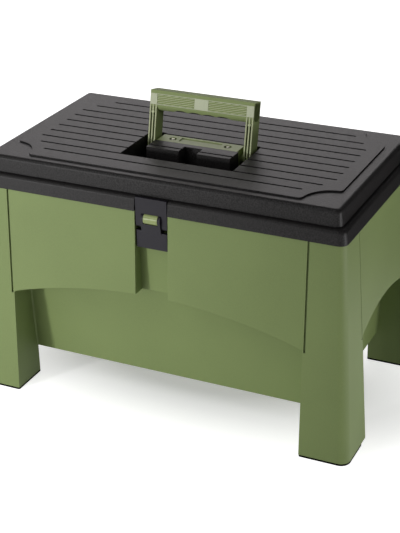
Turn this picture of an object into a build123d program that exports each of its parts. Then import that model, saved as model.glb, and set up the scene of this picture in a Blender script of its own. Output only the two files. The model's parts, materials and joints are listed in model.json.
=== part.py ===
from build123d import *
from math import atan2, cos, degrees, radians, sin
import os

# Step-stool tool box. X runs along its length, the front is towards -Y,
# Z is up, and the origin is on the floor under its middle. Sizes in mm.

# Shared values
wall = 3.0
fit = 0.3
pin_fit = 0.1
spill = 20.0

# Leg frame: legs, skirts and deck in one moulding, leaning out towards the floor
foot_length = 500.0
foot_width = 300.0
frame_height = 270.0
leg_lean = 16.0
foot_corner = 12.0
top_corner = 9.0
leg_length = 60.0
leg_depth = 52.5
leg_edge = 2.0
side_lip = 12.5
front_spring = 137.0
front_crown = 165.5
side_spring = 138.5
side_crown = 154.5
arch_corner = 4.0
slit_width = 2.4
slit_depth = 2.0
slit_offset = 2.5
slit_drop = 2.5

# Rubber feet: a pad under each leg with a plug inside it
foot_pad = 2.5
foot_plug = 8.0

# Tub hung by its flange between the deck and the collar
tub_floor = 39.5
tub_margin = 21.0
tub_lean = 14.0
tub_corner = 8.0
tub_edge = 1.0
flange = 3.0

# Collar on top of the frame
collar_overhang = 1.5
collar_height = 17.0
collar_corner = 10.0
collar_lean = 2.5
collar_edge = 4.5
coaming_height = 5.5
screw_pitch = 280.0

# Lid
parting = 0.5
lid_inset = 9.0
lid_height = 19.8
lid_lean = 2.0
lid_corner = 8.0
lid_edge = 5.0
lid_top = 3.5
rib_height = 8.0
rib_wall = 2.0
rib_inner = 105.0
rib_outer = 165.0
rib_row = 88.0

# Raised tread on the lid
tread_end_margin = 17.0
tread_side_margin = 15.0
tread_raise = 1.7
scoop_radius = 35.0
scoop_edge = 5.0
groove_count = 10
groove_pitch = 20.1
groove_shift = 2.6
groove_width = 3.0
groove_depth = 2.0
groove_margin = 16.5
second_groove_cut = 9.8
end_groove_cut = 26.4

# Handle, leaning back at rest, and the recess that it folds into
handle_pivot_y = 3.0
handle_drop = 13.0
handle_lean = 12.0
handle_length = 137.0
handle_reach = 69.5
handle_depth = 19.0
grip_height = 25.0
grip_top_edge = 4.0
grip_low_edge = 7.0
grip_wall = 1.6
grip_pocket = 20.0
post_width = 9.5
post_rib = 1.9
post_groove_depth = 6.0
post_groove_rise = 7.0
post_boss = 4.4
trunnion_diameter = 9.0
trunnion_length = 14.0
scallop_margin = 31.5
scallop_count = 4
scallop_depth = 3.0
scallop_radius = 24.0
recess_side_gap = 5.2
recess_front_gap = 1.0
recess_floor_gap = 2.0
recess_corner = 3.0
pan_wall = 2.5

# Blocks in the recess that fill the folded handle's loop, and the handle's retainer
island_front = 35.5
island_gap = 4.0
finger_gap = 24.0
finger_wall = 8.0
retainer_gap = 5.7
retainer_front = 10.2
retainer_depth = 21.2
retainer_plate = 4.0
retainer_dip_length = 54.0
retainer_dip_width = 12.4
retainer_dip_y = 1.3
retainer_dip = 1.0
retainer_screw_margin = 16.8
retainer_cheek = 3.0

# Screws
screw_diameter = 4.0
screw_head = 5.5
screw_recess = 2.0
screw_head_height = 2.4
screw_boss = 11.0
screw_offset = 4.5
retainer_screw_length = 14.0

# Lid hinges behind the collar
hinge_standoff = 5.5
hinge_rise = 1.5
hinge_spacing = 260.0
hinge_radius = 5.0
hinge_pin = 5.0
lid_knuckle = 20.0
collar_knuckle = 9.0
knuckle_gap = 0.5

# Latch in the front notch
notch_width = 42.4
notch_depth = 10.5
collar_notch_depth = 8.0
barrel_setback = 3.0
barrel_drop = 8.5
barrel_diameter = 13.0
barrel_length = 18.0
barrel_web = 5.0
pivot_pin = 4.0
latch_inset = 1.5
latch_width = 40.0
latch_edge = 0.8
lever_height = 22.0
shoulder_drop = 14.8
lever_plate = 4.0
lever_rib = 2.0
lever_rib_depth = 4.0
tongue_width = 24.8
ear_radius = 6.3
ear_gap = 0.2
tongue_gap = 1.0
link_setback = 3.5
link_drop = 7.7
link_pin = 3.5
link_eye = 3.5
hook_plate = 4.5
hook_rise = 0.5
hook_window = 26.0
window_drop = 2.0

# Heights that follow from the sizes above
deck_top = frame_height - flange
deck_bottom = deck_top - wall
collar_top = frame_height + collar_height
lid_bottom = collar_top + parting
lid_flat = lid_bottom + lid_height
tread_top = lid_flat + tread_raise
hinge_z = collar_top + hinge_rise
handle_pivot_z = tread_top - handle_drop
recess_floor = handle_pivot_z - handle_depth / 2 - recess_floor_gap
block_top = tread_top - retainer_plate
barrel_z = frame_height - barrel_drop
link_z = barrel_z - link_drop
lever_shoulder = barrel_z - shoulder_drop
lever_bottom = lever_shoulder - lever_height
hook_top = collar_top + hook_rise
window_top = frame_height - window_drop
collar_screw_length = collar_top - deck_bottom - fit

# Plan positions that follow from the sizes above
leg_inner_x = foot_length / 2 - leg_length
leg_inner_y = foot_width / 2 - leg_depth
side_half = leg_inner_y - side_lip
collar_length = foot_length - 2 * (leg_lean - collar_overhang)
collar_width = foot_width - 2 * (leg_lean - collar_overhang)
collar_draft = degrees(atan2(collar_lean, collar_height))
tub_top_length = collar_length - 2 * tub_margin
tub_top_width = collar_width - 2 * tub_margin
tub_length = tub_top_length - 2 * tub_lean
tub_width = tub_top_width - 2 * tub_lean
lid_length = collar_length - 2 * lid_inset
lid_width = collar_width - 2 * lid_inset
lid_draft = degrees(atan2(lid_lean, lid_height))
tread_length = lid_length - 2 * tread_end_margin
tread_width = lid_width - 2 * tread_side_margin
groove_length = tread_length - 2 * groove_margin
hinge_y = collar_width / 2 + hinge_standoff
latch_front = collar_width / 2 - latch_inset
notch_back = latch_front - notch_depth
collar_notch_back = latch_front - collar_notch_depth
barrel_y = barrel_setback - latch_front
link_y = link_setback - latch_front
collar_open_length = tub_top_length - 2 * wall
collar_open_width = tub_top_width - 2 * wall
screw_x = tub_top_length / 2 + screw_offset
screw_y = tub_top_width / 2 + screw_offset
post_inner = handle_length / 2 - post_width
post_groove = (post_width - 3 * post_rib) / 2
scallop_pitch = (handle_length - 2 * scallop_margin) / scallop_count
island_outer = post_inner - island_gap
retainer_length = 2 * (post_inner - retainer_gap)
retainer_screw_spacing = retainer_length - 2 * retainer_screw_margin
lean_sin = sin(radians(handle_lean))
lean_cos = cos(radians(handle_lean))
stop_height = (tread_top - handle_pivot_z + handle_depth / 2 * lean_sin) / lean_cos
recess_back = handle_pivot_y + handle_depth / 2 * lean_cos + stop_height * lean_sin + fit
recess_front = handle_pivot_y - handle_reach - recess_front_gap
recess_length = handle_length + 2 * recess_side_gap
recess_width = recess_back - recess_front
recess_y = (recess_back + recess_front) / 2
block_back = retainer_depth - retainer_front + fit
block_front = -retainer_front - fit
retainer_y = retainer_depth / 2 - retainer_front
block_length = retainer_length - 2 * (retainer_cheek + fit)
saddle_length = trunnion_length + fit - post_inner + block_length / 2
lug_offset = lid_knuckle / 2 + knuckle_gap + collar_knuckle / 2
collar_lug_positions = [x * hinge_spacing / 2 + y * lug_offset for x in (-1, 1) for y in (-1, 1)]

# Planes that carry the leaning handle: across it, and along its depth
handle_front = Plane((0, handle_pivot_y, handle_pivot_z), x_dir=(1, 0, 0), z_dir=(0, -lean_cos, lean_sin))
handle_side = Plane((0, handle_pivot_y, handle_pivot_z), x_dir=(0, lean_cos, -lean_sin), z_dir=(1, 0, 0))

os.makedirs("parts", exist_ok=True)


def drafted_block(bottom, bottom_size, bottom_corner, top, top_size, top_corner):
    """A block with rounded corners whose four sides lean in a straight line from bottom to top."""
    with BuildPart() as block:
        with BuildSketch(Plane.XY.offset(bottom)):
            RectangleRounded(*bottom_size, bottom_corner)
        with BuildSketch(Plane.XY.offset(top)):
            RectangleRounded(*top_size, top_corner)
        loft(ruled=True)
    return block.part


def leaning_block(bottom, size, corner, height, draft):
    """A block with rounded corners whose four sides lean in by the same draft angle."""
    with BuildPart() as block:
        with BuildSketch(Plane.XY.offset(bottom)):
            RectangleRounded(*size, corner)
        extrude(amount=height, taper=draft)
    return block.part


def frame_block(bottom, top, inset):
    """The leg frame's outer faces between two heights, moved in by an inset."""
    ends = []
    for height in (bottom, top):
        rise = (height - foot_pad) / (frame_height - foot_pad)
        shrink = 2 * (leg_lean * rise + inset)
        corner = foot_corner + (top_corner - foot_corner) * rise - inset
        ends += [height, (foot_length - shrink, foot_width - shrink), corner]
    return drafted_block(*ends)


def tub_block(bottom, top, inset):
    """The tub's outer faces between two heights, moved in by an inset."""
    ends = []
    for height in (bottom, top):
        rise = (height - tub_floor) / (deck_top - tub_floor)
        grow = 2 * (tub_lean * rise - inset)
        ends += [height, (tub_length + grow, tub_width + grow), tub_corner - inset]
    return drafted_block(*ends)


def screw_positions():
    """Plan positions of the collar's screws: two rows along the length and one at each end."""
    rows = [(x, y) for x in (-screw_pitch / 2, screw_pitch / 2) for y in (-screw_y, screw_y)]
    return rows + [(-screw_x, 0), (screw_x, 0)]


def screw(x, y, seat, length):
    """A pan-head screw standing on its seat height."""
    with BuildPart() as body:
        with BuildSketch(Plane.XY.offset(seat)):
            with Locations((x, y)):
                Circle(screw_head / 2)
        extrude(amount=screw_head_height)
        chamfer(body.faces().sort_by(Axis.Z)[-1].edges(), screw_head_height / 3)
        with BuildSketch(Plane.XY.offset(seat)):
            with Locations((x, y)):
                Circle(screw_diameter / 2)
        extrude(amount=-length)
    return body.part


# Leg frame
frame_outer = frame_block(foot_pad, frame_height, 0)
frame_hollow = frame_block(foot_pad, deck_bottom, wall)
flange_pocket = frame_block(deck_top, frame_height, wall)
frame_core = frame_block(foot_pad, frame_height, slit_depth)
tub_clearance = tub_block(tub_floor, deck_top, -fit)

with BuildPart() as leg_walls:
    with BuildSketch(Plane.XY.offset(foot_pad)):
        with GridLocations(2 * leg_inner_x + leg_length + spill, 2 * leg_inner_y + leg_depth + spill, 2, 2):
            RectangleRounded(leg_length + spill, leg_depth + spill, leg_edge)
    extrude(amount=deck_bottom - foot_pad)
    with BuildSketch(Plane.XY.offset(foot_pad)):
        with GridLocations(
            2 * (leg_inner_x + wall) + leg_length + spill, 2 * (leg_inner_y + wall) + leg_depth + spill, 2, 2
        ):
            RectangleRounded(leg_length + spill, leg_depth + spill, leg_edge - wall / 2)
    extrude(amount=deck_bottom - foot_pad, mode=Mode.SUBTRACT)
    add(frame_outer, mode=Mode.INTERSECT)
    add(tub_clearance, mode=Mode.SUBTRACT)

with BuildPart() as notch_walls:
    with BuildSketch(Plane.XY.offset(front_spring)):
        with Locations((0, -notch_back + wall)):
            Rectangle(notch_width + 2 * wall, foot_width / 2, align=(Align.CENTER, Align.MAX))
    extrude(amount=frame_height - front_spring)
    add(frame_outer, mode=Mode.INTERSECT)

with BuildPart() as slits:
    add(frame_outer)
    add(frame_core, mode=Mode.SUBTRACT)
    with BuildSketch(Plane.XY):
        with GridLocations(2 * (leg_inner_x + slit_offset), 0, 2, 1):
            Rectangle(slit_width, foot_width)
        with GridLocations(0, 2 * (side_half + slit_offset), 1, 2):
            Rectangle(foot_length, slit_width)
    extrude(amount=frame_height, mode=Mode.INTERSECT)
    with BuildSketch(Plane.XY):
        Rectangle(foot_length, foot_width)
    extrude(amount=front_spring - slit_drop, mode=Mode.SUBTRACT)

with BuildPart() as leg_frame:
    add(frame_outer)
    add(frame_hollow, mode=Mode.SUBTRACT)
    add(flange_pocket, mode=Mode.SUBTRACT)
    with BuildSketch(Plane.XY.offset(deck_bottom)):
        RectangleRounded(tub_top_length + 2 * fit, tub_top_width + 2 * fit, tub_corner + fit)
    extrude(amount=wall, mode=Mode.SUBTRACT)
    add(leg_walls.part)
    add(notch_walls.part)
    with BuildSketch(Plane.XY):
        with Locations((0, -notch_back)):
            Rectangle(notch_width, foot_width / 2, align=(Align.CENTER, Align.MAX))
    extrude(amount=frame_height, mode=Mode.SUBTRACT)
    with BuildSketch(Plane.XZ):
        with BuildLine():
            Line((-leg_inner_x, front_spring), (-leg_inner_x, 0))
            Line((-leg_inner_x, 0), (leg_inner_x, 0))
            Line((leg_inner_x, 0), (leg_inner_x, front_spring))
            ThreePointArc((leg_inner_x, front_spring), (0, front_crown), (-leg_inner_x, front_spring))
        front_arch = make_face()
        fillet(front_arch.vertices().group_by(Axis.Y)[-1], arch_corner)
    extrude(amount=foot_width, both=True, mode=Mode.SUBTRACT)
    with BuildSketch(Plane.YZ):
        with BuildLine():
            Line((-side_half, side_spring), (-side_half, 0))
            Line((-side_half, 0), (side_half, 0))
            Line((side_half, 0), (side_half, side_spring))
            ThreePointArc((side_half, side_spring), (0, side_crown), (-side_half, side_spring))
        side_arch = make_face()
        fillet(side_arch.vertices().group_by(Axis.Y)[-1], arch_corner)
    extrude(amount=foot_length, both=True, mode=Mode.SUBTRACT)
    add(slits.part, mode=Mode.SUBTRACT)
    with BuildSketch(Plane.YZ):
        with Locations((barrel_y, barrel_z)):
            Circle(barrel_diameter / 2)
        with Locations((barrel_y, barrel_z)):
            Rectangle(-notch_back - barrel_y, barrel_web, align=(Align.MIN, Align.CENTER))
        with Locations((barrel_y, barrel_z)):
            Circle(pivot_pin / 2 + pin_fit, mode=Mode.SUBTRACT)
    extrude(amount=barrel_length / 2, both=True)
    with BuildSketch(Plane.XY.offset(deck_bottom)):
        with Locations(*screw_positions()):
            Circle(screw_diameter / 2 + pin_fit)
    extrude(amount=wall, mode=Mode.SUBTRACT)
leg_frame.part.label = "leg_frame"
export_step(leg_frame.part, "parts/leg_frame.step")

# Rubber feet
plug_limit = frame_block(foot_pad, deck_bottom, wall + fit)
for side, x_sign in (("left", -1), ("right", 1)):
    for end, y_sign in (("front", -1), ("rear", 1)):
        outwards = (Align.MIN if x_sign > 0 else Align.MAX, Align.MIN if y_sign > 0 else Align.MAX)
        with BuildPart() as foot:
            with BuildSketch(Plane.XY.offset(foot_pad)):
                with Locations((x_sign * (leg_inner_x + wall + fit), y_sign * (leg_inner_y + wall + fit))):
                    RectangleRounded(leg_length, leg_depth, leg_edge, align=outwards)
            extrude(amount=foot_plug)
            add(plug_limit, mode=Mode.INTERSECT)
            with BuildSketch(Plane.XY):
                with Locations((x_sign * leg_inner_x, y_sign * leg_inner_y)):
                    RectangleRounded(leg_length, leg_depth, leg_edge, align=outwards)
                RectangleRounded(foot_length, foot_width, foot_corner, mode=Mode.INTERSECT)
            extrude(amount=foot_pad)
        name = f"foot_{end}_{side}"
        foot.part.label = name
        export_step(foot.part, f"parts/{name}.step")

# Storage tub
tub_cavity = tub_block(tub_floor + wall, frame_height, wall)
tub_bevel_rise = 2 * tub_lean * tub_edge / (deck_top - tub_floor)
tub_base = drafted_block(
    tub_floor,
    (tub_length - 2 * tub_edge, tub_width - 2 * tub_edge),
    tub_corner - tub_edge,
    tub_floor + tub_edge,
    (tub_length + tub_bevel_rise, tub_width + tub_bevel_rise),
    tub_corner,
)
flange_length = foot_length - 2 * (leg_lean + wall + fit)
flange_width = foot_width - 2 * (leg_lean + wall + fit)

with BuildPart() as storage_tub:
    add(tub_block(tub_floor + tub_edge, deck_top, 0))
    add(tub_base)
    with BuildSketch(Plane.XY.offset(deck_top)):
        RectangleRounded(flange_length, flange_width, top_corner - wall)
        with Locations((0, -notch_back + wall + fit)):
            Rectangle(
                notch_width + 2 * (wall + fit),
                foot_width,
                align=(Align.CENTER, Align.MAX),
                mode=Mode.SUBTRACT,
            )
        with Locations(*screw_positions()):
            Circle(screw_diameter / 2 + pin_fit, mode=Mode.SUBTRACT)
    extrude(amount=flange)
    add(tub_cavity, mode=Mode.SUBTRACT)
storage_tub.part.label = "storage_tub"
export_step(storage_tub.part, "parts/storage_tub.step")

# Collar: a ring open underneath, with a coaming round the tub's mouth and bosses for its screws
with BuildPart() as collar_channel:
    add(
        leaning_block(
            frame_height,
            (collar_length - 2 * wall, collar_width - 2 * wall),
            collar_corner - wall,
            collar_height - wall,
            collar_draft,
        )
    )
    with BuildSketch(Plane.XY.offset(frame_height)):
        RectangleRounded(tub_top_length, tub_top_width, tub_corner)
        with Locations(*screw_positions()):
            Circle(screw_boss / 2)
        with Locations((0, -collar_notch_back + wall)):
            Rectangle(notch_width + 2 * wall, collar_width / 2, align=(Align.CENTER, Align.MAX))
    extrude(amount=collar_height, mode=Mode.SUBTRACT)

with BuildPart() as collar:
    add(
        leaning_block(
            frame_height, (collar_length, collar_width), collar_corner, collar_height, collar_draft
        )
    )
    fillet(collar.faces().sort_by(Axis.Z)[-1].edges(), collar_edge)
    add(collar_channel.part, mode=Mode.SUBTRACT)
    with BuildSketch(Plane.XY.offset(collar_top)):
        RectangleRounded(tub_top_length, tub_top_width, tub_corner)
    extrude(amount=coaming_height)
    with BuildSketch(Plane.XY.offset(frame_height)):
        RectangleRounded(collar_open_length, collar_open_width, tub_corner - wall)
        with Locations((0, -collar_notch_back)):
            Rectangle(notch_width, collar_width / 2, align=(Align.CENTER, Align.MAX))
        with Locations(*screw_positions()):
            Circle(screw_diameter / 2 + pin_fit)
    extrude(amount=collar_height + coaming_height, mode=Mode.SUBTRACT)
    for lug_x in collar_lug_positions:
        with BuildSketch(Plane.YZ.offset(lug_x)):
            with Locations((hinge_y, hinge_z)):
                Circle(hinge_radius)
            with Locations((collar_width / 2 - collar_lean - wall / 2, frame_height + wall)):
                Rectangle(wall / 2, collar_height - collar_edge - wall, align=(Align.MAX, Align.MIN))
            make_hull()
            with Locations((hinge_y, hinge_z)):
                Circle(hinge_pin / 2 + pin_fit, mode=Mode.SUBTRACT)
        extrude(amount=collar_knuckle / 2, both=True)
collar.part.label = "collar"
export_step(collar.part, "parts/collar.step")

collar_screw_bodies = [screw(x, y, collar_top, collar_screw_length) for x, y in screw_positions()]
with BuildPart() as collar_screws:
    for body in collar_screw_bodies:
        add(body)
collar_screws.part.label = "collar_screws"
export_step(collar_screws.part, "parts/collar_screws.step")

# Hinge pins
for side, pin_x in (("left", -hinge_spacing / 2), ("right", hinge_spacing / 2)):
    with BuildPart() as pin:
        with BuildSketch(Plane.YZ.offset(pin_x)):
            with Locations((hinge_y, hinge_z)):
                Circle(hinge_pin / 2)
        extrude(amount=lid_knuckle / 2 + knuckle_gap + collar_knuckle, both=True)
    name = f"hinge_pin_{side}"
    pin.part.label = name
    export_step(pin.part, f"parts/{name}.step")

# Lid: a ribbed shell with a raised tread, a pan for the handle and knuckles at the back
lid_shell = leaning_block(lid_bottom, (lid_length, lid_width), lid_corner, lid_height, lid_draft)
lid_cavity = leaning_block(
    lid_bottom,
    (lid_length - 2 * wall, lid_width - 2 * wall),
    lid_corner - wall,
    lid_height - lid_top,
    lid_draft,
)

with BuildPart() as lid:
    add(lid_shell)
    fillet(lid.faces().sort_by(Axis.Z)[-1].edges(), lid_edge)
    add(lid_cavity, mode=Mode.SUBTRACT)
    with BuildSketch(Plane.XY.offset(lid_flat - lid_top - rib_height)):
        with GridLocations(2 * rib_inner, 0, 2, 1):
            Rectangle(rib_wall, lid_width - 2 * wall)
        with GridLocations(2 * rib_outer, 0, 2, 1):
            Rectangle(rib_wall, lid_width - 2 * wall)
        with GridLocations(0, 2 * rib_row, 1, 2):
            Rectangle(lid_length - 2 * wall, rib_wall)
    extrude(amount=rib_height)
    with BuildSketch(Plane.XY.offset(recess_floor - pan_wall)):
        with Locations((0, recess_y)):
            RectangleRounded(
                recess_length + 2 * pan_wall, recess_width + 2 * pan_wall, recess_corner + pan_wall
            )
    extrude(amount=lid_flat - recess_floor + pan_wall)
    with BuildSketch(Plane.XY.offset(lid_flat)) as tread:
        Rectangle(tread_length, tread_width)
        with GridLocations(tread_length, tread_width, 2, 2):
            Circle(scoop_radius, mode=Mode.SUBTRACT)
        fillet(tread.vertices(), scoop_edge)
    extrude(amount=tread_raise)
    with BuildSketch(Plane.XY.offset(recess_floor)):
        with Locations((0, recess_y)):
            RectangleRounded(recess_length, recess_width, recess_corner)
    extrude(amount=tread_top - recess_floor, mode=Mode.SUBTRACT)
    # Block under the retainer, the edge behind it and the notched block in front of it
    with BuildSketch(Plane.XY.offset(recess_floor)):
        with Locations((0, block_front)):
            Rectangle(block_length, recess_back - block_front, align=(Align.CENTER, Align.MIN))
    extrude(amount=block_top - recess_floor)
    with BuildSketch(Plane.XY.offset(recess_floor)):
        with Locations((0, block_back)):
            Rectangle(retainer_length, recess_back - block_back, align=(Align.CENTER, Align.MIN))
        with Locations((0, block_front)):
            Rectangle(2 * island_outer, island_front + block_front, align=(Align.CENTER, Align.MAX))
        with Locations((0, block_front - finger_wall)):
            Rectangle(
                finger_gap,
                island_front + block_front - finger_wall,
                align=(Align.CENTER, Align.MAX),
                mode=Mode.SUBTRACT,
            )
    extrude(amount=tread_top - recess_floor)
    # Hollows under the blocks, one on each side of the finger gap
    with BuildSketch(Plane.XY.offset(recess_floor - pan_wall)):
        with GridLocations(island_outer + finger_gap / 2, 0, 2, 1):
            with Locations((0, block_front)):
                Rectangle(
                    island_outer - finger_gap / 2 - 2 * wall,
                    island_front + block_front - wall,
                    align=(Align.CENTER, Align.MAX),
                )
    extrude(amount=tread_top - groove_depth - wall - recess_floor + pan_wall, mode=Mode.SUBTRACT)
    with BuildSketch(Plane.XY.offset(recess_floor - pan_wall)):
        with Locations((0, (block_front + block_back) / 2)):
            Rectangle(retainer_screw_spacing - screw_boss, block_back - block_front - 2 * wall)
    extrude(amount=block_top - wall - recess_floor + pan_wall, mode=Mode.SUBTRACT)
    # Saddles that carry the handle's trunnions, open at the top
    for saddle_x in (-block_length / 2, block_length / 2 - saddle_length):
        with BuildSketch(Plane.YZ.offset(saddle_x)):
            with Locations((handle_pivot_y, handle_pivot_z)):
                Circle(trunnion_diameter / 2 + fit)
                Rectangle(trunnion_diameter + 2 * fit, handle_drop, align=(Align.CENTER, Align.MIN))
        extrude(amount=saddle_length, mode=Mode.SUBTRACT)
    with BuildSketch(Plane.XY.offset(block_top)):
        with GridLocations(retainer_screw_spacing, 0, 2, 1):
            with Locations((0, retainer_y)):
                Circle(screw_diameter / 2 + pin_fit)
    extrude(amount=-retainer_screw_length, mode=Mode.SUBTRACT)
    # Grooves of the tread
    with BuildSketch(Plane.XY.offset(tread_top)):
        with Locations((0, groove_shift)):
            with GridLocations(0, groove_pitch, 1, groove_count - 4):
                SlotOverall(groove_length, groove_width)
            with GridLocations(0, (groove_count - 3) * groove_pitch, 1, 2):
                SlotOverall(groove_length - 2 * second_groove_cut, groove_width)
            with GridLocations(0, (groove_count - 1) * groove_pitch, 1, 2):
                SlotOverall(groove_length - 2 * end_groove_cut, groove_width)
    extrude(amount=-groove_depth, mode=Mode.SUBTRACT)
    # Knuckles on the hinge line
    for knuckle_x in (-hinge_spacing / 2, hinge_spacing / 2):
        with BuildSketch(Plane.YZ.offset(knuckle_x)):
            with Locations((hinge_y, hinge_z)):
                Circle(hinge_radius)
            with Locations((hinge_y, lid_bottom)):
                Rectangle(
                    hinge_y - lid_width / 2 + wall,
                    hinge_z + hinge_radius - lid_bottom,
                    align=(Align.MAX, Align.MIN),
                )
            with Locations((hinge_y, hinge_z)):
                Circle(hinge_pin / 2 + pin_fit, mode=Mode.SUBTRACT)
        extrude(amount=lid_knuckle / 2, both=True)
lid.part.label = "lid"
export_step(lid.part, "parts/lid.step")

# Retainer: a plate whose end cheeks hold the handle's trunnions down in their saddles
with BuildPart() as handle_retainer:
    with BuildSketch(Plane.XY.offset(block_top)):
        with Locations((0, retainer_y)):
            Rectangle(retainer_length, retainer_depth)
    extrude(amount=retainer_plate)
    with BuildSketch(Plane.XY.offset(tread_top)):
        with Locations((0, retainer_dip_y)):
            RectangleRounded(retainer_dip_length, retainer_dip_width, retainer_dip)
    extrude(amount=-retainer_dip, mode=Mode.SUBTRACT)
    with BuildSketch(Plane.XY.offset(recess_floor + fit)):
        with GridLocations(retainer_length - retainer_cheek, 0, 2, 1):
            with Locations((0, retainer_y)):
                Rectangle(retainer_cheek, retainer_depth)
    extrude(amount=block_top - recess_floor - fit)
    with BuildSketch(Plane.YZ):
        with Locations((handle_pivot_y, handle_pivot_z)):
            Circle(trunnion_diameter / 2 + fit)
            Rectangle(trunnion_diameter + 2 * fit, handle_drop, align=(Align.CENTER, Align.MAX))
    extrude(amount=retainer_length / 2, both=True, mode=Mode.SUBTRACT)
    with BuildSketch(Plane.XY.offset(block_top)):
        with GridLocations(retainer_screw_spacing, 0, 2, 1):
            with Locations((0, retainer_y)):
                Circle(screw_diameter / 2 + pin_fit)
    extrude(amount=retainer_plate, mode=Mode.SUBTRACT)
    with BuildSketch(Plane.XY.offset(tread_top)):
        with GridLocations(retainer_screw_spacing, 0, 2, 1):
            with Locations((0, retainer_y)):
                Circle(screw_head / 2 + screw_recess)
    extrude(amount=-screw_head_height, mode=Mode.SUBTRACT)
handle_retainer.part.label = "handle_retainer"
export_step(handle_retainer.part, "parts/handle_retainer.step")

retainer_screw_bodies = [
    screw(x, retainer_y, tread_top - screw_head_height, retainer_screw_length)
    for x in (-retainer_screw_spacing / 2, retainer_screw_spacing / 2)
]
with BuildPart() as retainer_screws:
    for body in retainer_screw_bodies:
        add(body)
retainer_screws.part.label = "retainer_screws"
export_step(retainer_screws.part, "parts/retainer_screws.step")

# Handle: a grip with finger scallops on two ribbed posts that turn on trunnions
with BuildPart() as handle:
    with BuildSketch(handle_side):
        with Locations((0, handle_reach)):
            grip = Rectangle(handle_depth, grip_height, align=(Align.CENTER, Align.MAX))
        fillet(grip.vertices().group_by(Axis.Y)[0], grip_low_edge)
        fillet(grip.vertices().group_by(Axis.Y)[-1], grip_top_edge)
    extrude(amount=handle_length / 2, both=True)
    with BuildSketch(handle_front):
        with Locations((0, handle_reach - grip_height + scallop_depth - scallop_radius)):
            with GridLocations(scallop_pitch, 0, scallop_count, 1):
                Circle(scallop_radius)
    extrude(amount=handle_depth, both=True, mode=Mode.SUBTRACT)
    with BuildSketch(handle_side.offset(post_inner)):
        Circle(handle_depth / 2)
        Rectangle(handle_depth, handle_reach - grip_height / 2, align=(Align.CENTER, Align.MIN))
    extrude(amount=post_width)
    with BuildSketch(handle_side.offset(post_inner)):
        Circle(trunnion_diameter / 2)
    extrude(amount=-trunnion_length)
    with BuildSketch(handle_front.offset(handle_depth / 2)):
        with Locations((post_inner + post_width / 2, 0)):
            with GridLocations(post_groove + post_rib, 0, 2, 1):
                Rectangle(
                    post_groove, handle_reach - grip_height, align=(Align.CENTER, Align.MIN)
                )
    extrude(amount=-post_groove_depth, mode=Mode.SUBTRACT)
    with BuildSketch(handle_front.offset(handle_depth / 2)):
        with Locations((post_inner + post_width / 2, handle_reach - grip_height)):
            with GridLocations(post_groove + post_rib, 0, 2, 1):
                Rectangle(post_groove, post_groove_rise, align=(Align.CENTER, Align.MIN))
    extrude(amount=-grip_wall / 2, mode=Mode.SUBTRACT)
    with BuildSketch(handle_front.offset(handle_depth / 2)):
        with Locations((post_inner + post_width / 2, handle_reach - grip_height - post_rib)):
            Circle(post_boss / 2)
    extrude(amount=-post_groove_depth)
    mirror(about=Plane.YZ)
    for pocket_x in (-handle_length / 2, handle_length / 2 - grip_pocket):
        with BuildSketch(handle_side.offset(pocket_x)):
            with Locations((0, handle_reach - grip_wall)):
                pocket = Rectangle(
                    handle_depth - 2 * grip_wall, grip_height - 2 * grip_wall, align=(Align.CENTER, Align.MAX)
                )
            fillet(pocket.vertices().group_by(Axis.Y)[0], grip_low_edge - grip_wall)
            fillet(pocket.vertices().group_by(Axis.Y)[-1], grip_top_edge - grip_wall)
        extrude(amount=grip_pocket, mode=Mode.SUBTRACT)
handle.part.label = "handle"
export_step(handle.part, "parts/handle.step")

# Latch lever: a ribbed plate under a tongue that holds the pivot pin on both sides of the barrel
with BuildPart() as latch_lever:
    with BuildSketch(Plane.XZ.offset(latch_front)):
        with Locations((0, lever_bottom)):
            Rectangle(latch_width, lever_shoulder - lever_bottom, align=(Align.CENTER, Align.MIN))
    extrude(amount=-lever_plate)
    fillet(latch_lever.faces().sort_by(Axis.Y)[0].edges(), latch_edge)
    with BuildSketch(Plane.XZ.offset(latch_front - lever_plate)):
        with GridLocations(latch_width - lever_rib, 0, 2, 1):
            with Locations((0, lever_bottom)):
                Rectangle(lever_rib, lever_shoulder - lever_bottom, align=(Align.CENTER, Align.MIN))
    extrude(amount=-lever_rib_depth)
    with BuildSketch(Plane.YZ):
        with Locations((barrel_y, barrel_z)):
            Circle(ear_radius)
        with Locations((link_y, link_z)):
            Circle(link_eye)
        with Locations((-latch_front, lever_shoulder)):
            Rectangle(lever_plate, lever_plate, align=(Align.MIN, Align.MAX))
        make_hull()
    extrude(amount=tongue_width / 2, both=True)
    with BuildSketch(Plane.YZ):
        with Locations((barrel_y, barrel_z)):
            Circle(barrel_diameter / 2 + tongue_gap)
    extrude(amount=barrel_length / 2 + ear_gap, both=True, mode=Mode.SUBTRACT)
    with BuildSketch(Plane.YZ):
        with Locations((barrel_y, barrel_z)):
            Circle(pivot_pin / 2 + pin_fit)
    extrude(amount=tongue_width / 2, both=True, mode=Mode.SUBTRACT)
    for ear_x in (-tongue_width / 2, barrel_length / 2 + ear_gap):
        with BuildSketch(Plane.YZ.offset(ear_x)):
            with Locations((link_y, link_z)):
                Circle(link_pin / 2 + pin_fit)
        extrude(amount=tongue_width / 2 - barrel_length / 2 - ear_gap, mode=Mode.SUBTRACT)
latch_lever.part.label = "latch_lever"
export_step(latch_lever.part, "parts/latch_lever.step")

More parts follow.
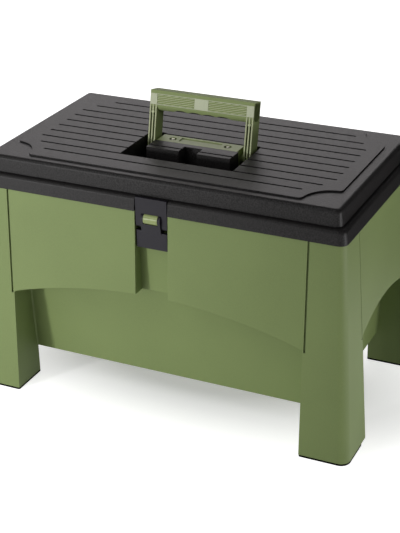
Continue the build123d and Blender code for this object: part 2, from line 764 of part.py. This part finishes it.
# Latch hook: a plate with a window round the barrel, hung on the lever by two legs
with BuildPart() as latch_hook:
    with BuildSketch(Plane.XZ.offset(latch_front)):
        with Locations((0, hook_top)):
            Rectangle(latch_width, hook_top - link_z, align=(Align.CENTER, Align.MAX))
        with Locations((0, window_top)):
            Rectangle(hook_window, window_top - link_z, align=(Align.CENTER, Align.MAX), mode=Mode.SUBTRACT)
    extrude(amount=-hook_plate)
    for leg_x in (-latch_width / 2, hook_window / 2):
        with BuildSketch(Plane.YZ.offset(leg_x)):
            with Locations((link_y, link_z)):
                Circle(link_eye)
        extrude(amount=(latch_width - hook_window) / 2)
    with BuildSketch(Plane.YZ):
        with Locations((link_y, link_z)):
            Circle(link_pin / 2 + pin_fit)
    extrude(amount=latch_width / 2, both=True, mode=Mode.SUBTRACT)
    fillet(latch_hook.edges().filter_by(Axis.X).sort_by(Axis.Z)[-2:], latch_edge)
latch_hook.part.label = "latch_hook"
export_step(latch_hook.part, "parts/latch_hook.step")

with BuildPart() as latch_pivot_pin:
    with BuildSketch(Plane.YZ):
        with Locations((barrel_y, barrel_z)):
            Circle(pivot_pin / 2)
    extrude(amount=tongue_width / 2, both=True)
latch_pivot_pin.part.label = "latch_pivot_pin"
export_step(latch_pivot_pin.part, "parts/latch_pivot_pin.step")

with BuildPart() as latch_link_pins:
    for pin_x in (-latch_width / 2, barrel_length / 2 + ear_gap):
        with BuildSketch(Plane.YZ.offset(pin_x)):
            with Locations((link_y, link_z)):
                Circle(link_pin / 2)
        extrude(amount=latch_width / 2 - barrel_length / 2 - ear_gap)
latch_link_pins.part.label = "latch_link_pins"
export_step(latch_link_pins.part, "parts/latch_link_pins.step")
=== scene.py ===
import bpy
import bmesh
import json
import math
from mathutils import Matrix, Vector


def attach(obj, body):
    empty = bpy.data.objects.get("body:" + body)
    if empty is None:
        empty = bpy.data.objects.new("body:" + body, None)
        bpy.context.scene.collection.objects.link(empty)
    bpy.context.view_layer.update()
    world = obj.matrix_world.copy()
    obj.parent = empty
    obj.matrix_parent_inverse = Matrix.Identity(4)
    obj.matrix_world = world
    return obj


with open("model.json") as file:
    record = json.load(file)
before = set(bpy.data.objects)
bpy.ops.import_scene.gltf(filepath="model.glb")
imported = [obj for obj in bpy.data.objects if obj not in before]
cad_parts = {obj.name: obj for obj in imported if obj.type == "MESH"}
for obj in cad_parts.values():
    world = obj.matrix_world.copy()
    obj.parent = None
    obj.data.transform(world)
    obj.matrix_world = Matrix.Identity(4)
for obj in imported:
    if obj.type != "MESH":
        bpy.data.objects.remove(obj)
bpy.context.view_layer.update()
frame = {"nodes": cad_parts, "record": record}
nodes = frame["nodes"]
scene = bpy.context.scene
MM = 0.001
SHARP_ANGLE = math.radians(32)


# Node helpers for the procedural materials

def new_material(name):
    mat = bpy.data.materials.new(name)
    mat.use_nodes = True
    mat.node_tree.nodes.clear()
    return mat, mat.node_tree.nodes, mat.node_tree.links


def coordinates(tree_nodes):
    return tree_nodes.new("ShaderNodeTexCoord").outputs["Object"]


def noise(tree_nodes, links, coords, scale, detail=3.0, roughness=0.55):
    tex = tree_nodes.new("ShaderNodeTexNoise")
    tex.inputs["Scale"].default_value = scale
    tex.inputs["Detail"].default_value = detail
    tex.inputs["Roughness"].default_value = roughness
    links.new(coords, tex.inputs["Vector"])
    return tex.outputs["Fac"]


def cells(tree_nodes, links, coords, scale):
    tex = tree_nodes.new("ShaderNodeTexVoronoi")
    tex.feature = "SMOOTH_F1"
    tex.inputs["Scale"].default_value = scale
    tex.inputs["Smoothness"].default_value = 0.6
    links.new(coords, tex.inputs["Vector"])
    return tex.outputs["Distance"]


def ranged(tree_nodes, links, value, low, high, to_low, to_high):
    node = tree_nodes.new("ShaderNodeMapRange")
    node.inputs["From Min"].default_value = low
    node.inputs["From Max"].default_value = high
    node.inputs["To Min"].default_value = to_low
    node.inputs["To Max"].default_value = to_high
    links.new(value, node.inputs["Value"])
    return node.outputs["Result"]


def math_node(tree_nodes, links, operation, a, b):
    node = tree_nodes.new("ShaderNodeMath")
    node.operation = operation
    for socket, value in zip(node.inputs, (a, b)):
        if isinstance(value, (int, float)):
            socket.default_value = value
        else:
            links.new(value, socket)
    return node.outputs["Value"]


def blended(tree_nodes, links, factor, first, second):
    node = tree_nodes.new("ShaderNodeMix")
    node.data_type = "RGBA"
    links.new(factor, node.inputs["Factor"])
    for socket, value in ((node.inputs["A"], first), (node.inputs["B"], second)):
        if isinstance(value, tuple):
            socket.default_value = (*value, 1.0)
        else:
            links.new(value, socket)
    return node.outputs["Result"]


def edge_mask(tree_nodes, links, radius):
    """1 on edges that stand out or in, 0 on flat faces."""
    bevel = tree_nodes.new("ShaderNodeBevel")
    bevel.samples = 4
    bevel.inputs["Radius"].default_value = radius
    plain = tree_nodes.new("ShaderNodeNewGeometry")
    dot = tree_nodes.new("ShaderNodeVectorMath")
    dot.operation = "DOT_PRODUCT"
    links.new(bevel.outputs["Normal"], dot.inputs[0])
    links.new(plain.outputs["Normal"], dot.inputs[1])
    return ranged(tree_nodes, links, dot.outputs["Value"], 0.98, 0.8, 0.0, 1.0)


def crevice_shade_mask(tree_nodes, links, reach):
    """1 deep in grooves and corners, where shade falls, 0 on open faces; it places the painted shade."""
    hollow = tree_nodes.new("ShaderNodeAmbientOcclusion")
    hollow.samples = 8
    hollow.inputs["Distance"].default_value = reach
    return ranged(tree_nodes, links, hollow.outputs["AO"], 0.55, 0.15, 0.0, 1.0)


def surface_shader(tree_nodes, links):
    shader = tree_nodes.new("ShaderNodeBsdfPrincipled")
    out = tree_nodes.new("ShaderNodeOutputMaterial")
    links.new(shader.outputs["BSDF"], out.inputs["Surface"])
    return shader


def bumped(tree_nodes, links, shader, height, strength, distance):
    bump = tree_nodes.new("ShaderNodeBump")
    bump.inputs["Strength"].default_value = strength
    bump.inputs["Distance"].default_value = distance
    links.new(height, bump.inputs["Height"])
    links.new(bump.outputs["Normal"], shader.inputs["Normal"])
    return bump


FLOW_SCALE = 9.0
TURNING_SCALE = 900.0
SPOT_SCALE = 140.0


def moulded_plastic(
    name, colour, worn, grain, grain_depth, roughness, specular,
    speckle=0.06, edge=0.0006, wear=0.35, painted_shade=0.5, reach=0.003,
):
    """Moulded plastic with a spark-eroded grain, faint flow marks, paler edges and painted shade in grooves
    and corners.
    """
    mat, n, links = new_material(name)
    coords = coordinates(n)
    shader = surface_shader(n, links)
    shader.inputs["Specular IOR Level"].default_value = specular

    broad = noise(n, links, coords, FLOW_SCALE, 2.0)
    fine = noise(n, links, coords, grain, 2.0, 0.6)
    cell = cells(n, links, coords, grain * 0.8)
    dark = tuple(c * (1 - speckle) for c in colour)
    light = tuple(min(1.0, c * (1 + speckle)) for c in colour)
    grains = ranged(n, links, fine, 0.35, 0.65, 0.0, 1.0)
    tone = blended(n, links, grains, dark, light)
    dusty = tuple(min(1.0, c * 1.12 + 0.002) for c in colour)
    tone = blended(n, links, ranged(n, links, broad, 0.35, 0.7, 0.0, 0.5), tone, dusty)
    uneven = ranged(n, links, broad, 0.3, 0.7, 0.5, 1.0)
    rub = math_node(n, links, "MULTIPLY", edge_mask(n, links, edge), uneven)
    tone = blended(n, links, math_node(n, links, "MULTIPLY", rub, wear), tone, worn)
    # Painted shade: grooves and corners found by the ambient-occlusion mask are darkened towards an eighth
    # of the colour.
    shade_colour = tuple(c * 0.12 for c in colour)
    deep = math_node(n, links, "MULTIPLY", crevice_shade_mask(n, links, reach), painted_shade)
    tone = blended(n, links, deep, tone, shade_colour)
    links.new(tone, shader.inputs["Base Color"])

    rough = ranged(n, links, fine, 0.3, 0.75, roughness - 0.06, roughness + 0.08)
    links.new(rough, shader.inputs["Roughness"])

    height = math_node(n, links, "ADD", fine, math_node(n, links, "MULTIPLY", cell, 0.5))
    bump = bumped(n, links, shader, height, strength=1.0, distance=grain_depth)
    round_edge = n.new("ShaderNodeBevel")
    round_edge.samples = 4
    round_edge.inputs["Radius"].default_value = edge
    links.new(round_edge.outputs["Normal"], bump.inputs["Normal"])
    return mat


def plated_steel(name, colour, roughness):
    """Plated steel with fine turning marks and duller spots."""
    mat, n, links = new_material(name)
    coords = coordinates(n)
    shader = surface_shader(n, links)
    shader.inputs["Metallic"].default_value = 1.0
    marks = noise(n, links, coords, TURNING_SCALE, 3.0)
    spots = noise(n, links, coords, SPOT_SCALE, 2.0)
    dull = tuple(c * 0.72 for c in colour)
    tone = blended(n, links, ranged(n, links, spots, 0.4, 0.7, 0.0, 1.0), colour, dull)
    links.new(tone, shader.inputs["Base Color"])
    rough = ranged(n, links, marks, 0.3, 0.7, roughness - 0.08, roughness + 0.1)
    links.new(rough, shader.inputs["Roughness"])
    bumped(n, links, shader, marks, strength=0.4, distance=0.00003)
    return mat


GREEN = (0.205, 0.268, 0.094)
GREEN_WORN = (0.31, 0.37, 0.19)
BLACK = (0.0185, 0.0172, 0.0172)
BLACK_WORN = (0.06, 0.06, 0.06)

# Each moulded plastic below darkens its grooves and corners with painted shade, by an amount set per
# material.
shell_green = moulded_plastic(
    "shell_green", GREEN, GREEN_WORN,
    grain=1100.0, grain_depth=0.00003, roughness=0.58, specular=0.45, painted_shade=0.9,
)
tub_green = moulded_plastic(
    "tub_green", GREEN, GREEN_WORN,
    grain=1100.0, grain_depth=0.00003, roughness=0.58, specular=0.45, painted_shade=0.6,
)
# The handle's green is lighter and less saturated than the shell's: partly its own tone, partly a painted
# highlight for a top light's sheen on the grip.
handle_green = moulded_plastic(
    "handle_green", (0.265, 0.325, 0.135), (0.40, 0.46, 0.26),
    grain=1600.0, grain_depth=0.00002, roughness=0.62, specular=0.2, edge=0.0004, painted_shade=0.8,
)
retainer_green = moulded_plastic(
    "retainer_green", (0.255, 0.305, 0.125), (0.40, 0.46, 0.25),
    grain=1600.0, grain_depth=0.00002, roughness=0.5, specular=0.4, edge=0.0005, painted_shade=0.9,
)
grip_pale = moulded_plastic(
    "grip_pale", (0.56, 0.60, 0.42), (0.60, 0.64, 0.45),
    grain=1300.0, grain_depth=0.00006, roughness=0.6, specular=0.4, edge=0.0003,
)
rib_pale = moulded_plastic(
    "rib_pale", (0.47, 0.51, 0.30), (0.52, 0.57, 0.34),
    grain=1300.0, grain_depth=0.00006, roughness=0.55, specular=0.4, edge=0.0003,
)
# Painted highlight: the barrel's skin is a lighter green than the shell it belongs to, standing in for the
# light on it.
barrel_lit_green = moulded_plastic(
    "barrel_lit_green", (0.30, 0.36, 0.13), (0.40, 0.46, 0.22),
    grain=1600.0, grain_depth=0.00001, roughness=0.32, specular=0.5, edge=0.0004,
)
lid_black = moulded_plastic(
    "lid_black", BLACK, BLACK_WORN,
    grain=620.0, grain_depth=0.00016, roughness=0.44, specular=0.2,
    speckle=0.8, wear=0.1, painted_shade=1.0, reach=0.004,
)
collar_black = moulded_plastic(
    "collar_black", BLACK, BLACK_WORN,
    grain=620.0, grain_depth=0.00014, roughness=0.44, specular=0.2, speckle=0.6, painted_shade=0.6,
)
latch_black = moulded_plastic(
    "latch_black", (0.0115, 0.0100, 0.0150), (0.16, 0.16, 0.17),
    grain=1900.0, grain_depth=0.00001, roughness=0.5, specular=0.3, edge=0.0005, wear=0.6,
)
foot_rubber = moulded_plastic(
    "foot_rubber", (0.004, 0.004, 0.004), (0.012, 0.012, 0.012),
    grain=800.0, grain_depth=0.00006, roughness=0.8, specular=0.02, wear=0.2,
)
steel = plated_steel("plated_steel", (0.35, 0.35, 0.28), roughness=0.45)

SLOT_MATERIALS = {
    "green_shell": shell_green,
    "green_tub": tub_green,
    "collar_black": collar_black,
    "lid_black": lid_black,
    "handle_green": handle_green,
    "retainer_green": retainer_green,
    "latch_black": latch_black,
    "foot_rubber": foot_rubber,
    "steel": steel,
}
slot_of = {s["node"]: s["material_slot"] for s in frame["record"]["subparts"]}
for name, obj in nodes.items():
    obj.data.materials.clear()
    obj.data.materials.append(SLOT_MATERIALS[slot_of[name]])
    obj.data.shade_smooth()
    obj.data.set_sharp_from_angle(angle=SHARP_ANGLE)


# Camera, from a fit of the photograph's straight edges. The turn is azimuth, elevation and roll in degrees,
# and the focal length and shifts are in pixels.

CAMERA_PLACE = Vector((0.6553, -1.3688, 0.8800))
CAMERA_TURN = (24.94, 25.94, -0.89)
PICTURE_HEIGHT = 533.0
FOCAL_LENGTH = 1335.04
SHIFT_X = -16.15
SHIFT_Y = 0.47
SENSOR_HEIGHT = 36.0


def add_camera():
    azimuth, elevation, roll = (math.radians(a) for a in CAMERA_TURN)
    flat = math.cos(elevation)
    back = Vector((math.sin(azimuth) * flat, -math.cos(azimuth) * flat, math.sin(elevation)))
    level = Vector((math.cos(azimuth), math.sin(azimuth), 0.0))
    upright = back.cross(level)
    right = level * math.cos(roll) + upright * math.sin(roll)
    up = upright * math.cos(roll) - level * math.sin(roll)
    data = bpy.data.cameras.new("camera")
    data.sensor_fit = "VERTICAL"
    data.sensor_height = SENSOR_HEIGHT
    data.lens = SENSOR_HEIGHT * FOCAL_LENGTH / PICTURE_HEIGHT
    data.shift_x = SHIFT_X / PICTURE_HEIGHT
    data.shift_y = SHIFT_Y / PICTURE_HEIGHT
    data.clip_end = 50.0
    camera = bpy.data.objects.new("camera", data)
    scene.collection.objects.link(camera)
    camera.matrix_world = Matrix(
        (
            (right.x, up.x, back.x, CAMERA_PLACE.x),
            (right.y, up.y, back.y, CAMERA_PLACE.y),
            (right.z, up.z, back.z, CAMERA_PLACE.z),
            (0.0, 0.0, 0.0, 1.0),
        )
    )
    scene.camera = camera


add_camera()


# Floor, world and lamps

FLOOR_HALF = 12.0
SHADE_HALF_X = 0.30
SHADE_HALF_Y = 0.135


def add_sheet(name, corners, faces, material):
    mesh = bpy.data.meshes.new(name)
    mesh.from_pydata(corners, [], faces)
    mesh.materials.append(material)
    sheet = bpy.data.objects.new(name, mesh)
    scene.collection.objects.link(sheet)
    return sheet


def add_floor():
    """A white floor that glows to the camera and to reflections, less so in an oval under the stool, which
    paints a shadow there on top of the real one.
    """
    mat, n, links = new_material("floor_white")
    diffuse = n.new("ShaderNodeBsdfDiffuse")
    diffuse.inputs["Color"].default_value = (0.82, 0.82, 0.82, 1.0)
    glow = n.new("ShaderNodeEmission")
    spread = n.new("ShaderNodeMapping")
    spread.inputs["Scale"].default_value = (1 / SHADE_HALF_X, 1 / SHADE_HALF_Y, 1.0)
    links.new(coordinates(n), spread.inputs["Vector"])
    away = n.new("ShaderNodeVectorMath")
    away.operation = "LENGTH"
    links.new(spread.outputs["Vector"], away.inputs[0])
    # Painted shadow: the glow drops in an oval under the stool, darkening the floor there beyond its real
    # shadow.
    shadow_oval_glow = ranged(n, links, away.outputs["Value"], low=0.45, high=1.25, to_low=0.28, to_high=0.88)
    far = ranged(n, links, away.outputs["Value"], low=1.25, high=2.4, to_low=0.0, to_high=0.12)
    links.new(math_node(n, links, "ADD", shadow_oval_glow, far), glow.inputs["Strength"])
    path = n.new("ShaderNodeLightPath")
    total = n.new("ShaderNodeAddShader")
    lit = n.new("ShaderNodeMixShader")
    seen = math_node(n, links, "MAXIMUM", path.outputs["Is Camera Ray"], path.outputs["Is Glossy Ray"])
    seen = math_node(n, links, "MAXIMUM", seen, path.outputs["Is Transmission Ray"])
    links.new(seen, lit.inputs["Fac"])
    links.new(diffuse.outputs["BSDF"], lit.inputs[1])
    links.new(diffuse.outputs["BSDF"], total.inputs[0])
    links.new(glow.outputs["Emission"], total.inputs[1])
    links.new(total.outputs["Shader"], lit.inputs[2])
    out = n.new("ShaderNodeOutputMaterial")
    links.new(lit.outputs["Shader"], out.inputs["Surface"])
    corners = [(x * FLOOR_HALF, y * FLOOR_HALF, 0) for x, y in ((-1, -1), (1, -1), (1, 1), (-1, 1))]
    floor = add_sheet("floor", corners, [(0, 1, 2, 3)], mat)


FLAG_ENDS = (0.28, 1.70)
FLAG_ROWS = ((0.31, 0.003), (1.50, 0.003), (1.50, 1.10))


def add_flag():
    """A black card behind the right end, bent up at its far edge, that only reflections see."""
    mat, n, links = new_material("flag_black")
    cloth = n.new("ShaderNodeBsdfDiffuse")
    cloth.inputs["Color"].default_value = (0.004, 0.004, 0.004, 1.0)
    out = n.new("ShaderNodeOutputMaterial")
    links.new(cloth.outputs["BSDF"], out.inputs["Surface"])
    corners = [(x, y, z) for y, z in FLAG_ROWS for x in FLAG_ENDS]
    flag = add_sheet("flag", corners, [(0, 1, 3, 2), (2, 3, 5, 4)], mat)
    flag.visible_camera = False
    flag.visible_diffuse = False
    flag.visible_shadow = False
    flag.visible_transmission = False


def add_world(strength):
    """A dim even sky that the camera sees as white."""
    world = bpy.data.worlds.new("studio")
    scene.world = world
    world.use_nodes = True
    n, links = world.node_tree.nodes, world.node_tree.links
    n.clear()
    path = n.new("ShaderNodeLightPath")
    mix = n.new("ShaderNodeMixShader")
    links.new(path.outputs["Is Camera Ray"], mix.inputs["Fac"])
    for socket, level in ((mix.inputs[1], strength), (mix.inputs[2], 1.0)):
        sky = n.new("ShaderNodeBackground")
        sky.inputs["Color"].default_value = (1.0, 1.0, 1.0, 1.0)
        sky.inputs["Strength"].default_value = level
        links.new(sky.outputs["Background"], socket)
    out = n.new("ShaderNodeOutputWorld")
    links.new(mix.outputs["Shader"], out.inputs["Surface"])


def place_lamp(data, place, target, power, glossy):
    data.energy = power
    lamp = bpy.data.objects.new(data.name, data)
    lamp.visible_glossy = glossy
    scene.collection.objects.link(lamp)
    lamp.location = place
    lamp.rotation_euler = (Vector(target) - Vector(place)).to_track_quat("-Z", "Y").to_euler()


def add_panel(name, place, target, size, power, glossy=True, colour=(1.0, 1.0, 1.0)):
    data = bpy.data.lights.new(name, "AREA")
    data.shape = "RECTANGLE"
    data.size, data.size_y = size
    data.color = colour
    place_lamp(data, place, target, power, glossy)


def add_spot(name, place, target, radius, angle, power, glossy=True):
    data = bpy.data.lights.new(name, "SPOT")
    data.shadow_soft_size = radius
    data.spot_size = math.radians(angle)
    data.spot_blend = 1.0
    place_lamp(data, place, target, power, glossy)


add_floor()
add_flag()
add_world(strength=0.13)
add_spot(
    "key_left", place=(-1.22, -2.06, 0.55), target=(-0.25, -0.1, 0.15), radius=0.13, angle=27.0, power=90.0
)
add_panel(
    "front_fill", place=(-0.75, -1.70, 0.65), target=(0, 0, 0.15), size=(0.9, 1.0), power=6.1, glossy=False
)
add_panel("side_right", place=(1.03, -0.12, 0.12), target=(0.24, 0.0, 0.14), size=(0.22, 0.2), power=2.3)
add_panel("top_soft", place=(-0.75, -1.1, 1.6), target=(0, 0, 0.3), size=(1.0, 0.8), power=5.0)
add_spot(
    "handle_side", place=(1.15, -0.25, 0.70), target=(0, 0, 0.33), radius=0.12, angle=16.0, power=5.5,
    glossy=False,
)
add_panel(
    "back_panel", place=(-0.95, 2.0, 1.35), target=(0, 0, 0.28), size=(1.8, 1.2), power=15.5,
    colour=(1.0, 0.955, 0.965),
)

scene.view_settings.view_transform = "Standard"


# Helpers for the pieces added to the solids. The lengths named below are in millimetres.

def finish_piece(bm, name, material, body):
    bmesh.ops.recalc_face_normals(bm, faces=bm.faces)
    mesh = bpy.data.meshes.new(name)
    bm.to_mesh(mesh)
    bm.free()
    mesh.materials.append(material)
    obj = bpy.data.objects.new(name, mesh)
    scene.collection.objects.link(obj)
    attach(obj, body)
    return obj


def add_walls(bm, rings):
    """Faces between each ring and the next, which has equally many points."""
    for low, high in zip(rings, rings[1:]):
        for k in range(len(low)):
            j = (k + 1) % len(low)
            bm.faces.new((low[k], low[j], high[j], high[k]))


def add_solid(bm, rings):
    """A closed solid through rings of points."""
    rings = [[bm.verts.new(p) for p in ring] for ring in rings]
    add_walls(bm, rings)
    bm.faces.new(rings[0][::-1])
    bm.faces.new(rings[-1])


# Grip: slanting ribs between pale borders and plain patches, and pale facings on the posts' ribs

LEAN = math.radians(12.0)
PIVOT = Vector((0.0, 3.0, 296.0)) * MM
GRIP_OUT = Vector((0.0, -math.cos(LEAN), math.sin(LEAN)))
GRIP_UP = Vector((0.0, math.sin(LEAN), math.cos(LEAN)))
GRIP_FACE = 9.5
GRIP_LOW = 51.8
GRIP_HIGH = 65.4
GRIP_HALF = 68.5
POST_WIDTH = 9.5
PATCH_HALF = 9.3
SUNK = 0.1
BORDER = 1.0
PLATE_PROUD = 0.6
PLATE_EDGE = 0.3
RIB_SLOPE = 0.28
RIB_PITCH = 2.9
RIB_WIDTH = 1.5
RIB_PROUD = 0.7
SHORTEST_RIB = 1.0
FACING_HALF = 0.95
FACING_PITCH = 3.8
FACING_COUNT = 3
FACING_LOW = 4.0
FACING_PROUD = 0.5
KNOB_HEIGHT = 42.6
KNOB_RADIUS = 2.1
KNOB_PROUD = 0.9
KNOB_EDGE = 0.4
KNOB_SIDES = 20


def grip_point(x, u, out):
    """A point by its place along the grip, its height along the posts and its distance from the face."""
    return PIVOT + Vector((x, 0, 0)) * MM + GRIP_UP * (u * MM) + GRIP_OUT * ((GRIP_FACE + out) * MM)


def bevel_steps(proud, edge):
    """Inset and distance of the three rings of a raised form with a bevelled edge."""
    return (0.0, -SUNK), (0.0, proud - edge), (edge, proud)


def add_plate(bm, x_low, x_high, u_low, u_high, proud):
    """A plate on the grip's front face, with bevelled edges."""
    rings = []
    for inset, out in bevel_steps(proud, PLATE_EDGE):
        corners = (
            (x_low + inset, u_low + inset), (x_high - inset, u_low + inset),
            (x_high - inset, u_high - inset), (x_low + inset, u_high - inset),
        )
        rings.append([grip_point(x, u, out) for x, u in corners])
    add_solid(bm, rings)


def add_knob(bm, x, u):
    """A round knob on the grip's front face, with a bevelled edge."""
    turns = [2 * math.pi * k / KNOB_SIDES for k in range(KNOB_SIDES)]
    rings = []
    for inset, out in bevel_steps(KNOB_PROUD, KNOB_EDGE):
        reach = KNOB_RADIUS - inset
        rings.append([grip_point(x + reach * math.cos(t), u + reach * math.sin(t), out) for t in turns])
    add_solid(bm, rings)


def add_ribs(bm, x_low, x_high, u_low, u_high):
    """Parallel ribs that rise to the right, cut off at the panel's edges."""
    foot, crest = RIB_WIDTH / 2, RIB_WIDTH / 4
    section = ((-foot, -SUNK), (-crest, RIB_PROUD), (crest, RIB_PROUD), (foot, -SUNK))
    rise = RIB_SLOPE * (x_high - x_low)
    start = u_low - rise
    count = int((u_high - start) / RIB_PITCH) + 1
    for i in range(count):
        foot_u = start + i * RIB_PITCH
        low = (x_low, foot_u)
        high = (x_high, foot_u + rise)
        if low[1] < u_low:
            low = (x_low + (u_low - foot_u) / RIB_SLOPE, u_low)
        if high[1] > u_high:
            high = (x_low + (u_high - foot_u) / RIB_SLOPE, u_high)
        if high[0] - low[0] >= SHORTEST_RIB:
            add_solid(bm, [[grip_point(x, u + du, out) for du, out in section] for x, u in (low, high)])


def add_grip_facing():
    post_edge = GRIP_HALF - POST_WIDTH
    panels = {
        "grip_ribs_left": (-post_edge, -PATCH_HALF),
        "grip_ribs_right": (PATCH_HALF, post_edge),
    }
    for name, (x_low, x_high) in panels.items():
        bm = bmesh.new()
        add_ribs(bm, x_low, x_high, GRIP_LOW + BORDER, GRIP_HIGH - BORDER)
        finish_piece(bm, name, rib_pale, "handle")

    bm = bmesh.new()
    add_plate(bm, -PATCH_HALF, PATCH_HALF, GRIP_LOW, GRIP_HIGH, PLATE_PROUD)
    for x_low, x_high in panels.values():
        add_plate(bm, x_low, x_high, GRIP_LOW, GRIP_LOW + BORDER, PLATE_PROUD)
        add_plate(bm, x_low, x_high, GRIP_HIGH - BORDER, GRIP_HIGH, PLATE_PROUD)
    for side in (-1, 1):
        x_low, x_high = sorted((side * post_edge, side * GRIP_HALF))
        add_plate(bm, x_low, x_high, GRIP_LOW, GRIP_HIGH, PLATE_PROUD)
    finish_piece(bm, "grip_border", grip_pale, "handle")

    bm = bmesh.new()
    for side in (-1, 1):
        for step in range(FACING_COUNT):
            middle = side * (post_edge + FACING_HALF + step * FACING_PITCH)
            add_plate(bm, middle - FACING_HALF, middle + FACING_HALF, FACING_LOW, GRIP_LOW, FACING_PROUD)
        add_knob(bm, side * (GRIP_HALF - POST_WIDTH / 2), KNOB_HEIGHT)
    finish_piece(bm, "post_facings", rib_pale, "handle")


add_grip_facing()


# Concave beads where the legs' inner walls meet the tub

LEG_WALL_X = 190.0
LEG_WALL_Y = 97.5
TUB_HALF_X = 200.5
TUB_HALF_Y = 100.5
TUB_LEAN = 14.0
TUB_LOW = 39.5
TUB_HIGH = 267.0
BEAD_LOW = 41.0
BEAD_HIGH = 150.0
BEAD_ON_TUB = 2.6
BEAD_ON_LEG = 1.8
BEAD_SINK = 0.35
BEAD_STEPS = 4


def tub_face(half, z):
    return half + TUB_LEAN * (z - TUB_LOW) / (TUB_HIGH - TUB_LOW)


def add_bead(bm, corner_at, along_tub, along_leg):
    """A hollow-faced strip up the inner corner between a leg's wall and the tub's face."""
    along_tub = Vector((*along_tub, 0))
    along_leg = Vector((*along_leg, 0))
    rings = []
    for z in (BEAD_LOW, BEAD_HIGH):
        corner = Vector((*corner_at(z), z))
        ring = [corner - along_tub * BEAD_SINK - along_leg * BEAD_SINK]
        for k in range(BEAD_STEPS + 1):
            turn = math.pi / 2 * k / BEAD_STEPS
            a = BEAD_ON_TUB * (1 - math.sin(turn))
            b = BEAD_ON_LEG * (1 - math.cos(turn))
            if k == 0:
                b -= BEAD_SINK
            if k == BEAD_STEPS:
                a -= BEAD_SINK
            ring.append(corner + along_tub * a + along_leg * b)
        rings.append([p * MM for p in ring])
    add_solid(bm, rings)


def add_tub_beads():
    bm = bmesh.new()
    for x in (-1, 1):
        for y in (-1, 1):
            add_bead(bm, lambda z: (x * LEG_WALL_X, y * tub_face(TUB_HALF_Y, z)), (-x, 0), (0, y))
            add_bead(bm, lambda z: (x * tub_face(TUB_HALF_X, z), y * LEG_WALL_Y), (0, -y), (x, 0))
    finish_piece(bm, "tub_beads", shell_green, "base")


# The latch barrel's smooth skin, in a lighter green that is painted light

BARREL_Y = -131.0
BARREL_Z = 261.5
BARREL_RADIUS = 6.5
BARREL_HALF = 8.9
SKIN_HALF = 0.12
SKIN_START = 60.0
SKIN_SWEEP = 240.0
SKIN_STEPS = 24


def add_barrel_skin():
    """A thin smooth skin on the front of the latch's barrel, in a lighter green that paints the light on
    it.
    """
    bm = bmesh.new()
    rings = []
    for x in (-BARREL_HALF, BARREL_HALF):
        ring = []
        for radius, order in ((BARREL_RADIUS + SKIN_HALF, 1), (BARREL_RADIUS - SKIN_HALF, -1)):
            for k in range(SKIN_STEPS + 1)[::order]:
                turn = math.radians(SKIN_START + SKIN_SWEEP * k / SKIN_STEPS)
                y = BARREL_Y + radius * math.cos(turn)
                z = BARREL_Z + radius * math.sin(turn)
                ring.append(bm.verts.new(Vector((x, y, z)) * MM))
        rings.append(ring)
    add_walls(bm, rings)
    last = len(rings[0]) - 1
    for ring, order in zip(rings, (1, -1)):
        for k in range(SKIN_STEPS):
            bm.faces.new((ring[k], ring[last - k], ring[last - k - 1], ring[k + 1])[::order])
    skin = finish_piece(bm, "barrel_skin", barrel_lit_green, "base")
    skin.data.shade_smooth()
    skin.data.set_sharp_from_angle(angle=SHARP_ANGLE)


# Floors of the slits in the side faces

FOOT_HALF_X = 250.0
LEG_LEAN = 16.0
FRAME_LOW = 2.5
FRAME_HIGH = 270.0
SIDE_SLIT_Y = 87.5
SIDE_SLIT_LOW = 135.5
SLIT_HALF = 1.15
SLIT_FLOOR = 0.3
SLIT_BACK = 1.9


def add_side_slit_floors():
    """Strips that leave the two slits of each side face shallow."""
    bm = bmesh.new()
    for x in (-1, 1):
        for y in (-1, 1):
            rings = []
            for z in (SIDE_SLIT_LOW, FRAME_HIGH - SLIT_FLOOR):
                skin = FOOT_HALF_X - LEG_LEAN * (z - FRAME_LOW) / (FRAME_HIGH - FRAME_LOW)
                front = skin - SLIT_FLOOR
                back = skin - SLIT_BACK
                corners = ((front, -SLIT_HALF), (front, SLIT_HALF), (back, SLIT_HALF), (back, -SLIT_HALF))
                rings.append([Vector((x * a, y * SIDE_SLIT_Y + b, z)) * MM for a, b in corners])
            add_solid(bm, rings)
    finish_piece(bm, "side_slit_floors", shell_green, "base")


add_tub_beads()
add_barrel_skin()
add_side_slit_floors()
